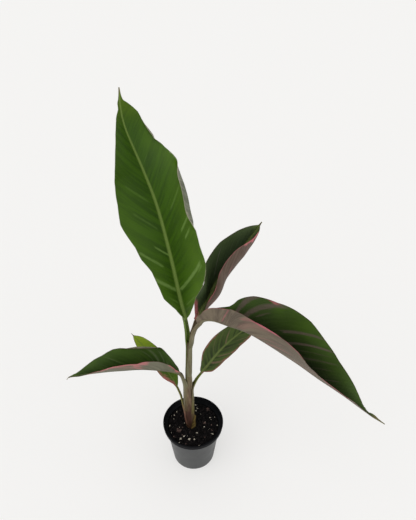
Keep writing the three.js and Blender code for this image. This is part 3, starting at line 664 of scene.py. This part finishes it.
def stalk_tissue():
    """Ribbed stalk tissue: fibres run along it over the colour it carries."""
    material, s, surface = new_material("stalk_tissue", 0.4, 1.38, 0.45)
    grain = s.attribute("grain", "Vector")
    fibre = s.noise(grain, 0.9, 4.0, 0.65)
    broad = s.noise(grain, 0.26, 2.0)
    skin = s.attribute("skin", "Color")
    deep = s.mix(1.0, skin, (0.6, 0.5, 0.42, 1), "MULTIPLY")
    pale = s.mix(1.0, skin, (1.5, 1.46, 1.36, 1), "MULTIPLY")
    colour = s.mix(s.span(broad, 0.42, 0.6, 0.0, 0.75), skin, deep)
    colour = s.mix(s.span(fibre, 0.48, 0.64, 0.0, 0.6), colour, pale)
    colour = s.mix(s.attribute("lip"), colour, rgba(SKIN["lip"]))
    s.feed(surface.inputs["Roughness"], s.span(broad, 0.3, 0.7, 0.34, 0.5))
    finish(s, surface, colour, fibre, 0.45, 0.0005)
    return material


def pot_plastic(name, low, high, specular):
    """Satin moulded plastic with a dusty cloud and a fine grain."""
    material, s, surface = new_material(name, 0.42, 1.42, specular)
    spot = s.place()
    cloud = s.noise(spot, 24.0, 4.0, 0.6)
    s.feed(surface.inputs["Roughness"], s.span(cloud, 0.3, 0.7, 0.36, 0.5))
    colour = s.mix(s.span(cloud, 0.35, 0.7), rgba(low), rgba(high))
    finish(s, surface, colour, s.noise(spot, 1100.0, 2.0), 0.1, 0.0003)
    return material


def soil_material():
    material, s, surface = new_material("potting_mix", 0.95, 1.3, 0.1)
    spot = s.place()
    coarse = s.noise(spot, 260.0, 4.0, 0.7)
    fine = s.noise(spot, 1400.0, 3.0, 0.7)
    colour = s.mix(s.span(coarse, 0.38, 0.7), rgba("060606"), rgba("191717"))
    colour = s.mix(s.span(fine, 0.55, 0.75, 0.0, 0.4), colour, rgba("322e2d"))
    finish(s, surface, colour, s.math("MULTIPLY_ADD", fine, 0.4, coarse), 0.9, 0.0016)
    return material


def grain_material(name, low, high, scale, roughness=0.95):
    """Dull dry stuff, clouded from a dark to a light colour."""
    material, s, surface = new_material(name, roughness, 1.3, 0.2)
    cloud = s.noise(s.place(), scale, 3.0, 0.65)
    colour = s.mix(s.span(cloud, 0.35, 0.65), rgba(low), rgba(high))
    finish(s, surface, colour, cloud, 0.6, 0.0006)
    return material


# ------------------------------------------------------------------ leaf blades
def outline(leaf, s):
    """Half width of the blade at s as part of its widest, with a drawn-out tip."""
    q, m = s / (1 - leaf["tail"]), leaf["widest"]
    if q < m:
        width = (1 - (1 - q / m) ** leaf["base"]) ** (1 / leaf["base"])
    else:
        width = (1 - clamp((q - m) / (1 - m)) ** leaf["tip"][0]) ** leaf["tip"][1]
    drawn = clamp((1 - s) / (leaf["tail"] + 0.035))
    return max(width, 0.012 + 0.03 * drawn + 0.09 * drawn ** 3 if q > m else 0)


def rib_frames(leaf, steps):
    points, length = even_points(leaf["rib"], steps)
    frames = []
    for i, (point, ahead) in enumerate(zip(points, directions(points))):
        s = i / steps
        side = ahead.cross(UP).normalized()
        up = side.cross(ahead)
        roll = math.radians(along(leaf["roll"], s))
        frames.append(dict(s=s, point=point, ahead=ahead, length=length,
                           side=side * math.cos(roll) + up * math.sin(roll),
                           up=up * math.cos(roll) - side * math.sin(roll)))
    return frames


def rolled_rim(leaf, hand, s, t):
    """Extra turn where a margin rolls in over the leaf, in radians."""
    turn = 0.0
    for half, start, end, inner, degrees in leaf.get("rims", ()):
        if half == hand and start < s < end and t > inner:
            amount = math.sin(math.pi * (s - start) / (end - start)) ** 0.9
            turn += math.radians(degrees) * amount * smooth((t - inner) / (1 - inner) * 1.25)
    return turn


def half_row(leaf, f, hand, across):
    """One half of a blade's section: (point, distance from the midrib, width)."""
    half, s = (0 if hand == LEFT else 1), f["s"]
    amount, pitch = leaf["wave"]
    groove = lerp(leaf["petiole"] * 0.9, 0.5, s ** 0.5)
    foot = lerp(leaf["petiole"] * 0.85, 0, clamp(s * 14))
    width = leaf["half"] * outline(leaf, s) * along(leaf["size"][half], s)
    width = max(width + knots(leaf["margin"][half], s) * smooth(width / 7), foot, 0.25)
    fold = math.radians(along(leaf["fold"][half], s))
    curl = math.radians(along(leaf["curl"][half], s))
    x = y = reach = 0.0
    cells = []
    for k in range(across + 1):
        t = (k / across) ** 1.12
        step, middle = width * t - reach, (width * t + reach) / 2
        slope = fold * smooth(middle / groove * 0.5 + 0.1) + curl * middle / width
        slope += rolled_rim(leaf, hand, s, middle / width)
        x += step * math.cos(slope)
        y += step * math.sin(slope)
        reach = width * t
        turn = 2 * math.pi * s * f["length"] / pitch + 2.1 * half
        ripple = math.sin(turn) + 0.45 * math.sin(2.3 * turn + 1.3)
        lift = amount * t * t * min(1, width / 12) * ripple
        point = (f["point"] + f["side"] * hand * (x - lift * math.sin(slope))
                 + f["up"] * (y + lift * math.cos(slope)))
        cells.append((point, hand * reach, width))
    return cells


def blade_rows(leaf, steps, across):
    rows = []
    for f in rib_frames(leaf, steps):
        left, right = half_row(leaf, f, LEFT, across), half_row(leaf, f, RIGHT, across)
        rows.append((f["s"], f["length"], left[::-1] + right[1:]))
    return rows


def blush_at(leaf, s, across, edge, vein):
    mask = 0.0
    for half, start, end, depth, strength in leaf["patches"]:
        if half * across >= 0:
            run = smooth((s - start) / 0.03 + 0.5) * smooth((end - s) / 0.03 + 0.5)
            deep = depth * (0.75 + 0.9 * rough(vein / 4.5, 3.3, half * 7))
            mask = max(mask, strength * run * smooth((deep - edge) / (0.35 * depth)))
    return mask


def make_blade(name):
    leaf, look = LEAVES[name], FINISH[name]
    steps, across = look["steps"], look["across"]
    rows = blade_rows(leaf, steps, across)
    piece, stations = shaped_grid(name, 2 * across, steps, lambda c, r: rows[r][2][c][0])
    steep, steeper = leaf["vein"]
    tip_from = leaf.get("tip_from", TIP_FROM)
    marks = {key: [] for key in ("vein", "across", "edge", "outwards", "midrib", "blush",
                                 "tip", "dry")}
    for column, row in stations:
        s, length, cells = rows[row]
        _, across_mm, width = cells[column]
        far = abs(across_mm)
        vein = s * length - far * (steep + steeper * s)
        rib = lerp(0.85, 0.3, s) * leaf["petiole"] * leaf.get("rib_wide", 1)
        # Painted light: each half's outer part takes a lighter green, scaled per half and along the
        # leaf; the part near the folded midrib stays darker as painted shade.
        painted_light = lerp(*leaf.get("painted_light", ((1, 1), (1, 1)))[0 if across_mm < 0 else 1], s)
        marks["vein"].append(vein + (HALF_SHIFT if across_mm > 0 else 0))
        marks["across"].append(across_mm)
        marks["edge"].append(width - far)
        marks["outwards"].append(painted_light * smooth(far / max(width, 1) * 1.25 - 0.2))
        marks["midrib"].append(1 - smooth((far - rib * 0.3) / rib))
        marks["blush"].append(blush_at(leaf, s, across_mm, width - far, vein))
        marks["tip"].append(smooth((s - tip_from) / (0.96 - tip_from)))
        marks["dry"].append(smooth((s - 1 + 0.9 * leaf["tail"]) / 0.03))
    for key, values in marks.items():
        store(piece, key, values)
    wear(piece, leaf_face(name, leaf, look), leaf_back(name, leaf, look), leaf_rim(name, look))
    body = piece.modifiers.new("leaf_thickness", "SOLIDIFY")
    body.thickness = THIN * MM
    body.offset = -1
    body.material_offset = 1
    body.material_offset_rim = 2
    apply_modifiers(piece)
    smooth_shade(piece, 60)
    return place_on_plant(piece, look["slot"], name + "_blade")


# ------------------------------------------------------ pseudostem and petioles
def stem_at(z):
    heights = STEM["heights"]
    z = clamp(z, heights[0], heights[-1])
    i = 0
    while i < len(heights) - 2 and z > heights[i + 1]:
        i += 1
    s = (i + (z - heights[i]) / (heights[i + 1] - heights[i])) / (len(heights) - 1)
    return Vector((along(STEM["x"], s), 0, z)), along(STEM["radius"], s)


def foot_swell(z):
    """How much wider the stem gets where it enters the soil."""
    return 1 + 0.1 * smooth((96 - z) / 16)


def foot_tint(skin, angle, z):
    """Purple on one side low on the stem, brown at the soil, ragged upwards."""
    ragged = 52 * rough(math.cos(angle) * 5, math.sin(angle) * 5, z / 90)
    lean = smooth(1.6 * math.cos(angle + 1.85) - 0.45)
    purple = 0.9 * lean * smooth((166 + ragged - z) / 32)
    brown = (0.3 + 0.5 * lean) * smooth((108 + 0.5 * ragged - z) / 22)
    return skin.lerp(linear(SKIN["purple"]), purple).lerp(linear(SKIN["foot"]), brown)


def make_stem(material):
    sides, rings, marks = STEM["sides"], [], []
    for i in range(STEM["rings"] + 1):
        z = lerp(STEM["foot"], STEM["top"], i / STEM["rings"])
        centre, radius = stem_at(z)
        swell = foot_swell(z) * (1 - 0.35 * smooth((z - 286) / 14))
        ring, mark = [], []
        for k in range(sides):
            a = 2 * math.pi * k / sides
            fibre = 0.2 * rough(math.cos(a) * 5, math.sin(a) * 5, z / 70)
            bulge = 0.3 * rough(math.cos(a) * 1.3, math.sin(a) * 1.3, z / 25 + 9)
            r = (radius + fibre + bulge) * swell
            ring.append(Vector((centre.x + r * math.cos(a), r * math.sin(a), z)))
            warm = smooth(0.5 + 0.7 * math.cos(a + 0.5) + 0.5 * rough(a, z / 40))
            skin = linear(SKIN["stem"]).lerp(linear(SKIN["stem_warm"]), warm)
            mark.append(((r * math.cos(a), r * math.sin(a), z / 14), foot_tint(skin, a, z), 0.0))
        rings.append(ring)
        marks.append(mark)
    piece = tube("stem_core", rings, lambda c, r: marks[r][c])
    smooth_shade(piece, 60)
    wear(piece, material)
    return place_on_plant(piece, "pseudostem", "pseudostem")


def wrapped_section(centre, out, side, radius, wall, reach, count):
    """Closed section of a leaf base: an arc that looks towards out, open on
    the other side, with thinned lips."""
    ring = []
    for k in range(count):
        angle = math.radians(lerp(-reach, reach, k / (count - 1)))
        ring.append(centre + out * radius * math.cos(angle) + side * radius * math.sin(angle))
    for k in range(count):
        place = 1 - k / (count - 1)
        angle = math.radians(lerp(-reach, reach, place) * 0.985)
        inner = max(radius - wall * (0.4 + 0.6 * math.sin(math.pi * place) ** 0.5), 0.12)
        ring.append(centre + out * inner * math.cos(angle) + side * inner * math.sin(angle))
    return ring


def stalk_line(leaf):
    """Stations from the sheath's foot to the blade: centre, radius, wall, reach
    in degrees each way, and the direction its back looks."""
    first, r = rib_frames(leaf, 60)[0], leaf["petiole"]
    stations = []
    if leaf["sheath"]:
        sheath = leaf["sheath"]
        back = compass(sheath["towards"])
        for t in (0, 0.34, 0.67, 1):
            z = lerp(sheath["foot"], sheath["leave"], t)
            centre, radius = stem_at(z)
            centre = Vector((centre.x, 0, z)) + back * lerp(0.1, sheath["stand"], t)
            size = radius + lerp(0.25, 0.5, math.sin(math.pi * min(t, 0.8)))
            wrap = sheath["wrap"] * lerp(1, 0.8, t)
            stations.append((centre, size, lerp(0.5, 1.4, t), wrap, back))
    else:
        back = Vector((0.35, 0.9, 0)).normalized()
        for z in YOUNGEST:
            centre, radius = stem_at(z)
            stations.append((centre, radius + 0.12, 3.0, 178, back))
    for i, point in enumerate(leaf["via"]):
        t = (i + 1) / (len(leaf["via"]) + 0.5)
        _, size, wall, reach, _ = stations[-1]
        size = lerp(size, r, leaf["sheath"].get("slim", 0.55) if leaf["sheath"] else 0.4)
        stations.append((Vector(point), size, lerp(wall, r * 0.95, 0.6),
                         lerp(reach, CHANNEL, 0.6), back.lerp(-first["up"], t).normalized()))
    end = first["point"] - first["up"] * 0.45 * r - first["ahead"] * r
    stations.append((end, r, r * 0.95, CHANNEL, -first["up"]))
    return stations


def make_stalk(name, material):
    """Sheath, channelled petiole and the midrib under the blade, in one piece."""
    leaf, count = LEAVES[name], LANES
    sheath_skin, turned_skin, petiole_skin, rib_skin = [linear(c) for c in FINISH[name]["stalk"]]
    stations = stalk_line(leaf)
    steps = STALK_STEPS * (len(stations) - 1)
    last_sheath = (3 if leaf["sheath"] else 1) / (len(stations) - 1)
    centres = [along([g[0] for g in stations], i / steps) for i in range(steps + 1)]
    rings, marks, run = [], [], 0.0

    def add(ring, size, reach, skin, low):
        mark = []
        for k, point in enumerate(ring):
            lane = k / (count - 1) if k < count else 2 - (k - 1) / (count - 1)
            inner = 0 if k < count else 1
            rim = abs(2 * lane - 1)
            axis = stem_at(point.z)[0]
            angle = math.atan2(point.y - axis.y, point.x - axis.x)
            tone = skin.lerp(turned_skin, low * smooth(0.5 + 0.8 * math.cos(angle + 0.35)))
            tone = tone.lerp(foot_tint(tone, angle, point.z), 0.6) if low else tone
            # Inner faces of the sheath and the channel are painted 20% darker: painted shade in the
            # recess.
            tone = tone * (0.8 if inner else 1.0)
            place = (lane * size * math.radians(reach) * 2, 5.0 * inner, run / 12)
            mark.append((place, tone, 0.75 * smooth((rim - 0.9) / 0.08) * (0.35 + 0.65 * low)))
        rings.append(ring)
        marks.append(mark)

    for i, (centre, ahead) in enumerate(zip(centres, directions(centres))):
        s = i / steps
        size, wall, reach, out = [along([g[n] for g in stations], s) for n in (1, 2, 3, 4)]
        out = (out - ahead * out.dot(ahead)).normalized()
        side = out.cross(ahead).normalized()
        size -= 0.55 * (1 - smooth(i / 10)) if leaf["sheath"] else 0
        low = 1 - smooth((s - last_sheath) / 0.25)
        run += (centres[i] - centres[i - 1]).length if i else 0
        add(wrapped_section(centre, out, side, size, max(0.3, wall), reach, count), size, reach,
            petiole_skin.lerp(sheath_skin, low), low)
    for f in rib_frames(leaf, RIB_STEPS):
        s = f["s"]
        if s > 0.985:
            break
        size = lerp(leaf["petiole"], 0.35, s ** leaf.get("rib_taper", 0.62))
        reach = lerp(CHANNEL, 96, clamp(s * 3))
        centre = f["point"] - f["up"] * (lerp(0.45, 0.25, smooth(s * 8)) * size)
        side = (-f["up"]).cross(f["ahead"]).normalized()
        run += f["length"] / RIB_STEPS
        add(wrapped_section(centre, -f["up"], side, size, size * 0.97, reach, count), size, reach,
            petiole_skin.lerp(rib_skin, smooth(s / 0.25)), 0.0)
    piece = tube(name + "_stalk", rings, lambda c, r: marks[r][c])
    smooth_shade(piece, 50)
    wear(piece, material)
    return place_on_plant(piece, "petiole", name + "_petiole")


def make_old_sheath(material):
    """Papery remnant of a cut leaf that clasps the stem's foot."""
    old, dice = OLD_SHEATH, random.Random(5)
    rows, columns = 34, 30
    ragged = [dice.uniform(-1, 1) for _ in range(columns + 1)]

    def place(c, r):
        t, u = r / rows, 2 * c / columns - 1
        top = lerp(old["middle"], old["sides"], abs(u) ** 1.3) + ragged[c] * 1.2
        z = lerp(old["foot"], top, t)
        centre, radius = stem_at(z)
        angle = old["towards"] + old["reach"] * u * (1 - 0.25 * t)
        crinkle = 0.35 * rough(u * 5, z / 7, 1.0)
        out = radius * foot_swell(z) + old["stand"] + crinkle + 1.3 * t ** 3
        return Vector((centre.x, 0, z)) + compass(angle) * out

    piece, _ = shaped_grid("dry_sheath", columns, rows, place)
    wear(piece, material)
    body = piece.modifiers.new("sheath_thickness", "SOLIDIFY")
    body.thickness = THIN * MM
    body.offset = 0
    apply_modifiers(piece)
    smooth_shade(piece, 50)
    return place_on_plant(piece, "old_sheath", "old_leaf_sheath")


# ------------------------------------------------------------------ pot and soil
def turned_shell(name, profile):
    """A turned wall: a ring is extruded and resized from one (radius, height)
    to the next, and its two ends are closed."""
    radius, height = profile[0]
    bpy.ops.object.select_all(action="DESELECT")
    bpy.ops.mesh.primitive_circle_add(vertices=POT["sides"], radius=radius * MM,
                                      location=(0, 0, height * MM))
    piece = new_piece(name)
    bpy.ops.object.transform_apply(location=True, rotation=True, scale=True)
    bpy.ops.object.mode_set(mode="EDIT")
    bpy.ops.mesh.select_all(action="SELECT")
    for next_radius, next_height in profile[1:]:
        bpy.ops.mesh.extrude_edges_move(
            TRANSFORM_OT_translate={"value": (0, 0, (next_height - height) * MM)})
        scale = next_radius / radius
        bpy.ops.transform.resize(value=(scale, scale, 1),
                                 center_override=(0, 0, next_height * MM))
        radius, height = next_radius, next_height
    bpy.ops.mesh.select_all(action="SELECT")
    bpy.ops.mesh.fill_holes(sides=0)
    bpy.ops.mesh.select_all(action="SELECT")
    bpy.ops.mesh.normals_make_consistent(inside=False)
    bpy.ops.object.mode_set(mode="OBJECT")
    return piece


def make_pot(body_with_painted_reflection, collar_plastic):
    """Up the outside from the underside, over the rim and down the inside."""
    p = POT
    h, w, floor = p["height"], p["wall"], p["floor"]
    c = h - p["collar"]
    base, shoulder, collar, rim = p["base"], p["shoulder"], p["collar_foot"], p["rim"]
    profile = [
        (p["standing"], 0.0), (base - 1.2, 0.0), (base - 0.35, 0.35), (base, 1.2),
        (shoulder - 0.1, c - 0.8), (shoulder + 0.25, c - 0.2), (shoulder + 0.8, c),
        (collar - 0.5, c), (collar - 0.1, c + 0.25), (collar, c + 0.7),
        (rim - 0.6, h - 3.2), (rim - 0.3, h - 2.6), (rim, h - 2.1), (rim, h - 0.8),
        (rim - 0.3, h - 0.2), (rim - 0.9, h), (rim - 1.5, h - 0.15), (rim - w - 0.4, h - 0.7),
        (collar - w, c + w + 0.8), (collar - w - 0.6, c + w), (shoulder - w, c + w - 0.2),
        (base - w + 0.6, floor + 1.2), (base - w - 1.0, floor), (p["middle"], floor),
    ]
    piece = turned_shell("nursery_pot", profile)
    for i in range(p["holes"]):
        centre = compass(360 / p["holes"] * (i + 0.5)) * p["hole_circle"] * MM
        bpy.ops.object.select_all(action="DESELECT")
        bpy.ops.mesh.primitive_cylinder_add(vertices=24, radius=p["hole"] * MM,
                                            depth=p["drill"] * MM, location=centre)
        drill = bpy.context.active_object
        cut = piece.modifiers.new("drain", "BOOLEAN")
        cut.operation, cut.object, cut.solver = "DIFFERENCE", drill, "EXACT"
        apply_modifiers(piece)
        bpy.data.objects.remove(drill)
    smooth_shade(piece, 35)
    wear(piece, body_with_painted_reflection, collar_plastic)
    # The outside below the collar takes the body's grey: a painted reflection of the pale floor on
    # the same black plastic as the collar.
    for face in piece.data.polygons:
        wall = math.hypot(face.center.x, face.center.y) / MM
        high = face.center.z / MM
        outside = wall > lerp(base, shoulder, high / c) - 0.9 or high < 1
        face.material_index = 0 if outside and high < c - 0.1 else 1
    return place_on_plant(piece, "pot", "pot")


def from_stem(x, y):
    return math.hypot(x + SOIL["stem_left"], y)


def soil_height(x, y):
    lumps = 0.9 * rough(x / 9, y / 9, 0.3) + 0.7 * rough(x / 3.2, y / 3.2, 4)
    mound = 0.8 * smooth((16 - from_stem(x, y)) / 12)
    return SOIL["top"] - 0.4 + lumps + mound


def make_soil(material):
    """The bed is turned up the wall from (radius, height) to the next. Then
    its rings close in over the top, which is uneven and has no set height."""
    sides, rings = SOIL["sides"], SOIL["rings"]

    def wall_radius(z):
        rise = (z - POT["floor"]) / SOIL["rise"]
        return lerp(POT["base"], POT["shoulder"], rise) - POT["wall"] - 0.15

    bed = [(0.8, 2.2), (30, 2.2)] + [(wall_radius(z), z) for z in (2.2, 30, 60, 80, 83.4)]
    bed += [(wall_radius(84) * (1 - k / rings), None) for k in range(1, rings)]

    def place(c, r):
        radius, z = bed[r]
        spot = compass(360 * c / sides) * radius
        return Vector((spot.x, spot.y, soil_height(spot.x, spot.y) if z is None else z))

    piece, _ = shaped_grid("soil_bed", sides, len(bed) - 1, place)
    close_up(piece)
    smooth_shade(piece, 60)
    wear(piece, material)
    return place_on_plant(piece, "potting_soil", "potting_soil")


def knobbly(mesh, jag, shift):
    """Knocks a ball into an uneven lump."""
    for vertex in mesh.vertices:
        vertex.co *= 1 + jag * noise.noise(vertex.co * 1.3 + shift)


def scattered(name, places, detail, jag, material, seed):
    """Many small lumps in one mesh: a ball is copied, knocked into shape and
    laid on the soil. places holds (x, y, lift, three half sizes, turn)."""
    dice = random.Random(seed)
    bpy.ops.object.select_all(action="DESELECT")
    bpy.ops.mesh.primitive_ico_sphere_add(subdivisions=detail, radius=1)
    ball = new_piece(name)
    for x, y, lift, sizes, turn in places:
        lump = ball.copy()
        lump.data = ball.data.copy()
        knobbly(lump.data, jag, Vector([dice.uniform(0, 50) for _ in range(3)]))
        tilt = Vector((dice.uniform(-1, 1), dice.uniform(-1, 1), 3)).to_track_quat("Z", "Y")
        at = Vector((x, y, soil_height(x, y) + lift)) * MM
        lump.data.transform(Matrix.Translation(at) @ tilt.to_matrix().to_4x4()
                            @ Matrix.Rotation(math.radians(turn), 4, "Z")
                            @ Matrix.Diagonal((*[size * MM for size in sizes], 1)))
        bpy.context.collection.objects.link(lump)
        lump.select_set(True)
        bpy.context.view_layer.objects.active = lump
    ball.select_set(False)
    bpy.data.objects.remove(ball)
    bpy.ops.object.join()
    piece = new_piece(name)
    smooth_shade(piece, 30)
    wear(piece, material)
    return place_on_plant(piece, "potting_soil")


def free_places(count, low, high, flat, seed):
    """Random places on the soil, off the stem and inside the pot."""
    dice, field = random.Random(seed), SOIL["field"]
    made = []
    while len(made) < count:
        x, y = dice.uniform(-field, field), dice.uniform(-field, field)
        size = lerp(low, high, dice.random() ** 2)
        if math.hypot(x, y) > SOIL["reach"] - size or from_stem(x, y) < SOIL["clear"]:
            continue
        made.append((x, y, size * flat * dice.uniform(0.1, 0.6),
                     (size, size * dice.uniform(0.6, 0.95), size * flat), dice.uniform(0, 360)))
    return made


def laid_out(spots, flat):
    """Grains at chosen places: (x, y, half length, half breadth, turn)."""
    return [(x, y, 0.4 * breadth * flat, (length, breadth, breadth * flat), turn)
            for x, y, length, breadth, turn in spots]


def make_toppings():
    crumbs = grain_material("soil_crumb", "090808", "231f1f", 500.0)
    perlite = grain_material("perlite_grain", "8a8274", "d6cebc", 700.0, 0.85)
    bark = grain_material("bark_chip", "261e1c", "62504a", 380.0)
    scattered("soil_crumbs", free_places(900, 0.5, 2.2, 0.8, 11), 1, 0.7, crumbs, 1)
    grains = [(6.5, -18, 1.7, 1.6, 0), (-21, -29.4, 1.9, 1.7, 20), (-6.2, -30.5, 2.3, 1.8, 20),
              (2.7, -30.5, 1.7, 1.3, 0), (-15.3, -23.7, 2.3, 1.1, 100), (6.8, 33.4, 1.4, 1.3, 0),
              (3.6, 41, 1.6, 1.1, 60), (29.5, 13.8, 1.4, 1.0, 10), (19.4, -5.2, 1.3, 1.0, 60),
              (33.4, -19.1, 2.8, 1.0, 100), (-34, 18.7, 1.6, 1.0, 30), (-41.2, -2.8, 2.6, 1.0, 95),
              (-30.2, 26, 0.9, 0.7, 0), (17.4, -9.9, 0.9, 0.8, 0), (10.8, -41.5, 1.5, 1.0, 40),
              (-22.3, -36.4, 1.5, 1.0, 0), (-15.4, 2.4, 1.1, 0.8, 0), (13.1, 21.1, 0.8, 0.7, 0),
              (38, 15, 0.9, 0.7, 80), (-34.7, 11.4, 0.9, 0.6, 0), (4.4, 28, 1.2, 0.9, 60)]
    scattered("perlite_grains", laid_out(grains, 0.85) + free_places(34, 0.35, 0.95, 0.8, 12),
              2, 0.8, perlite, 2)
    chips = [(-24.7, -12.2, 5.2, 3.8, 30), (19.4, 3.1, 3.4, 2.0, 0), (25.4, 31.6, 3.4, 2.4, 40)]
    scattered("bark_chips", laid_out(chips, 0.4) + free_places(16, 0.8, 2.6, 0.4, 13),
              2, 0.9, bark, 3)


# ------------------------------------------------------------- camera and light
CAMERA = dict(place=(0.026, -0.619, 0.989), looks_down=40.3, sensor=36,
              focal_px=600, frame_px=520)


def make_camera():
    data = bpy.data.cameras.new("camera")
    data.sensor_width = CAMERA["sensor"]
    data.lens = CAMERA["focal_px"] * CAMERA["sensor"] / CAMERA["frame_px"]
    camera = bpy.data.objects.new("camera", data)
    camera.location = CAMERA["place"]
    camera.rotation_euler = (math.radians(90 - CAMERA["looks_down"]), 0, 0)
    bpy.context.collection.objects.link(camera)
    bpy.context.scene.camera = camera


def sun(name, come_from, strength, spread):
    """A soft light from a direction; its spread is in degrees."""
    data = bpy.data.lights.new(name, "SUN")
    data.energy, data.angle = strength, math.radians(spread)
    lamp = bpy.data.objects.new(name, data)
    lamp.rotation_euler = Vector(come_from).to_track_quat("Z", "Y").to_euler()
    bpy.context.collection.objects.link(lamp)


def make_studio():
    """A pale floor that glows a little, so it stays light and shadows stay
    faint, under an even sky and two soft suns."""
    bpy.ops.object.select_all(action="DESELECT")
    bpy.ops.mesh.primitive_plane_add(size=40)
    floor = new_piece("studio_floor")
    material, _, surface = new_material("studio_paper", 0.95, 1.3, 0.0)
    surface.inputs["Base Color"].default_value = (0.4, 0.397, 0.391, 1)
    surface.inputs["Emission Color"].default_value = (1, 0.992, 0.978, 1)
    surface.inputs["Emission Strength"].default_value = 0.53
    wear(floor, material)
    world = bpy.data.worlds.new("studio")
    bpy.context.scene.world = world
    world.use_nodes = True
    sky = world.node_tree.nodes["Background"]
    sky.inputs["Color"].default_value = (1, 1, 1, 1)
    sky.inputs["Strength"].default_value = 0.7
    sun("key", (-0.55, -0.55, 1.0), 0.85, 60)
    sun("fill", (0.9, -0.5, 0.6), 0.25, 70)
    view = bpy.context.scene.view_settings
    view.view_transform = "Standard"
    view.look = "None"


VEINS = vein_group()
STREAK = streak_group()

make_camera()
make_studio()
# The body's grey is a painted reflection of the pale floor; the plastic itself is the collar's
# near-black.
make_pot(pot_plastic("pot_body_painted_reflection", "323434", "424444", 0.3),
         pot_plastic("pot_collar_plastic", "101112", "1a1b1d", 0.02))
make_soil(soil_material())
make_toppings()
tissue = stalk_tissue()
make_stem(tissue)
for leaf_name in LEAVES:
    make_stalk(leaf_name, tissue)
    make_blade(leaf_name)
make_old_sheath(grain_material("dry_sheath_paper", "40311a", "7a683a", 160.0, 0.7))
